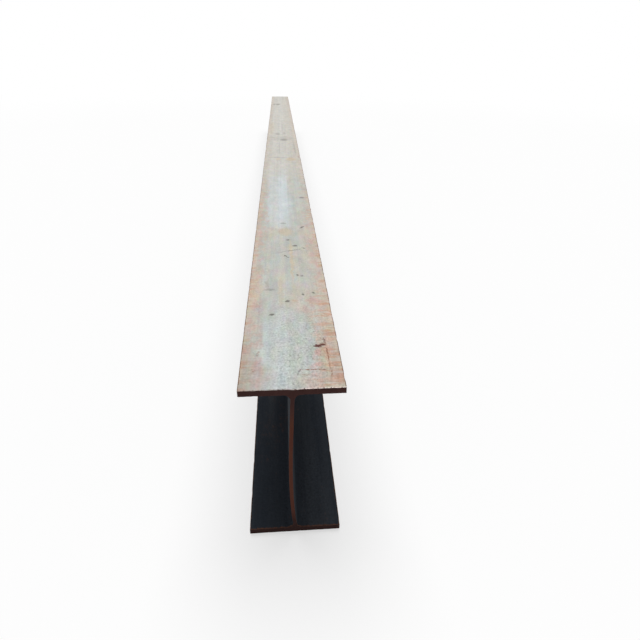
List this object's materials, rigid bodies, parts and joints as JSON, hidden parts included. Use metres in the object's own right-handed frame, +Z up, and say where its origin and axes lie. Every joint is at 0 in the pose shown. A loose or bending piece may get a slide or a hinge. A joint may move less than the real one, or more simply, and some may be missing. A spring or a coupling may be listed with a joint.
{
  "type": "steel h-beam",
  "caption": "Hot-rolled steel H-beam with parallel flanges, a thin web, root fillets and square-cut ends, for columns, girders and frames.",
  "frame": {"origin": "middle of the underside of the lower flange, at mid-length", "axes": "+Y along the beam, +X across the flanges, +Z up from the lower flange to the upper flange"},
  "size_m": [0.2, 6, 0.4],
  "materials": {
    "rolled_steel": "dull grey mill scale with thin red-brown rust along the edges and on the sawn ends"
  },
  "bodies": {
    "root": {"h_beam": "rolled_steel"}
  },
  "joints": []
}
